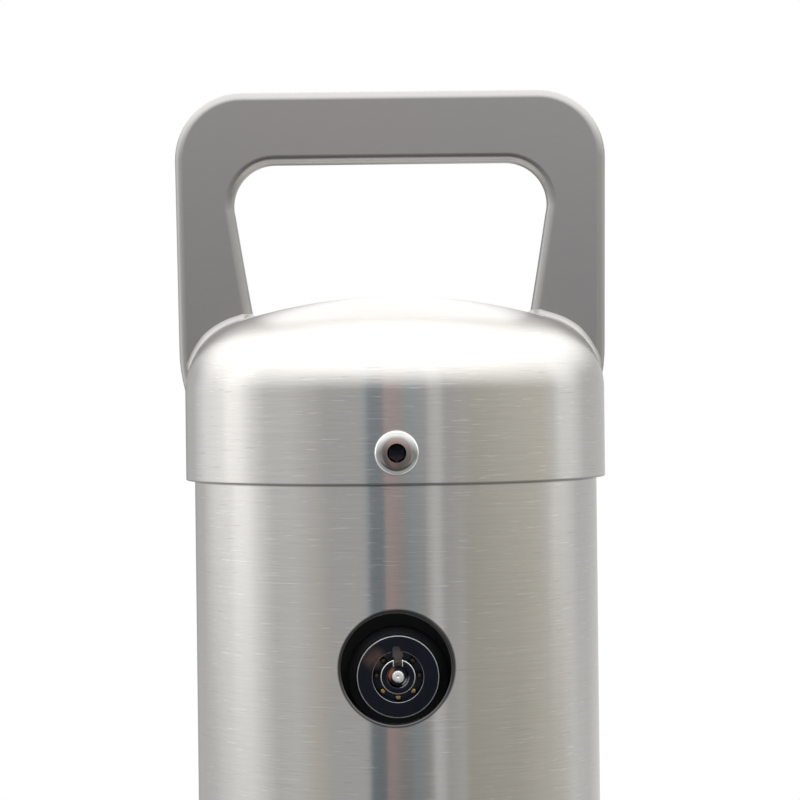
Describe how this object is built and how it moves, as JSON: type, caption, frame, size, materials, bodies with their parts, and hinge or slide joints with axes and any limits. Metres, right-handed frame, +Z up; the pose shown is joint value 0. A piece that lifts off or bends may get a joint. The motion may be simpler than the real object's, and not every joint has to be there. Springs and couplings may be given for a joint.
{
  "type": "retractable bollard",
  "caption": "Domed brushed steel security post with a top grab handle and a round key lock, telescoping into a buried casing on a gas spring and held by two radial bolts.",
  "frame": {"origin": "on the post's axis, at finished ground level, which is the top face of the casing's square flange", "axes": "+Z up along the post, the keyhole faces -Y, the handle plate lies in the XZ plane"},
  "size_m": [0.22, 0.22, 1.4599],
  "materials": {
    "brushed_stainless": "brushed round the post, fine grain",
    "satin_stainless": "fine satin",
    "ground_weld": "weld bead ground and polished smooth",
    "polished_stainless": "polished",
    "galvanised_steel": "hot-dip galvanised, dull",
    "mill_steel": "machined mild steel, lightly oiled",
    "zinc_plated_steel": "bright zinc plate",
    "spring_clip_steel": "blued spring steel",
    "hardened_bright_steel": "ground bright",
    "black_chrome": "black chrome, polished",
    "bright_chrome": "hard chrome",
    "brass": "plain turned",
    "black_polymer": "moulded, matt",
    "white_polymer": "acetal, matt",
    "black_rubber": "matt",
    "black_paint": "semi-gloss black",
    "aluminium_alloy": "turned"
  },
  "bodies": {
    "ground_unit": {"casing_tube": "galvanised_steel", "ground_flange": "galvanised_steel", "casing_base": "galvanised_steel", "latch_ring": "galvanised_steel", "lower_latch_ring": "galvanised_steel", "anti_turn_rail": "galvanised_steel", "guide_collar": "satin_stainless", "upper_guide_bush": "white_polymer", "lower_guide_bush": "white_polymer", "wiper_seal": "black_rubber", "seal_retainer": "satin_stainless", "collar_screws": "polished_stainless", "retainer_screws": "polished_stainless", "base_clevis": "mill_steel", "lower_clevis_pin": "zinc_plated_steel", "lower_pin_clip": "spring_clip_steel", "rod_end_eye": "zinc_plated_steel", "spring_rod": "bright_chrome", "spring_piston": "aluminium_alloy"},
    "post": {"post_tube": "brushed_stainless", "cap": "brushed_stainless", "handle": "satin_stainless", "handle_welds": "ground_weld", "cap_screws": "polished_stainless", "cap_nuts": "zinc_plated_steel", "lock_cup": "black_polymer", "lock_bracket": "mill_steel", "lock_barrel": "black_chrome", "lock_nut": "zinc_plated_steel", "bulkhead": "mill_steel", "upper_clevis": "mill_steel", "upper_clevis_pin": "zinc_plated_steel", "upper_pin_clip": "spring_clip_steel", "spring_cylinder": "black_paint", "cylinder_eye": "zinc_plated_steel", "spring_gland": "aluminium_alloy", "draw_rod_guide": "mill_steel", "draw_rod_bushes": "white_polymer", "stop_ring": "mill_steel", "rebound_ring": "black_rubber", "foot_plate": "mill_steel", "foot_blocks": "mill_steel", "foot_screws": "zinc_plated_steel", "bolt_guides": "mill_steel"},
    "lock_core": {"lock_core": "black_chrome", "centre_pin": "bright_chrome", "crank": "zinc_plated_steel", "crank_screw": "polished_stainless"},
    "key_pins": {"key_pins": "brass"},
    "draw_rod": {"draw_rod": "zinc_plated_steel", "yoke": "zinc_plated_steel", "draw_rod_nuts": "zinc_plated_steel", "cam_plate": "zinc_plated_steel"},
    "left_bolt": {"left_bolt": "hardened_bright_steel", "left_drive_pin": "hardened_bright_steel"},
    "right_bolt": {"right_bolt": "hardened_bright_steel", "right_drive_pin": "hardened_bright_steel"}
  },
  "joints": [
    {"name": "post_slide", "type": "slide", "parent": "ground_unit", "child": "post", "axis": [0, 0, 1], "range_m": [-0.5459, 0], "stiffness_N_per_m": 60, "springref_m": 2.5},
    {"name": "lock_turn", "type": "hinge", "parent": "post", "child": "lock_core", "pos_m": [0, -0.0443, 0.5084], "axis": [0, 1, 0], "range_deg": [0, 90]},
    {"name": "key_pins_press", "type": "slide", "parent": "lock_core", "child": "key_pins", "axis": [0, 1, 0], "range_m": [0, 0.002], "stiffness_N_per_m": 400, "springref_m": -0.001},
    {"name": "draw_rod_slide", "type": "slide", "parent": "post", "child": "draw_rod", "axis": [0, 0, 1], "range_m": [-0.0098, 0]},
    {"name": "left_bolt_slide", "type": "slide", "parent": "post", "child": "left_bolt", "axis": [-1, 0, 0], "range_m": [0, 0.0098]},
    {"name": "right_bolt_slide", "type": "slide", "parent": "post", "child": "right_bolt", "axis": [1, 0, 0], "range_m": [0, 0.0098]}
  ],
  "couplings": [
    {"joint": "lock_turn", "follows": "draw_rod_slide", "rad_per_m": -160.28},
    {"joint": "left_bolt_slide", "follows": "draw_rod_slide", "ratio": -1},
    {"joint": "right_bolt_slide", "follows": "draw_rod_slide", "ratio": -1}
  ]
}
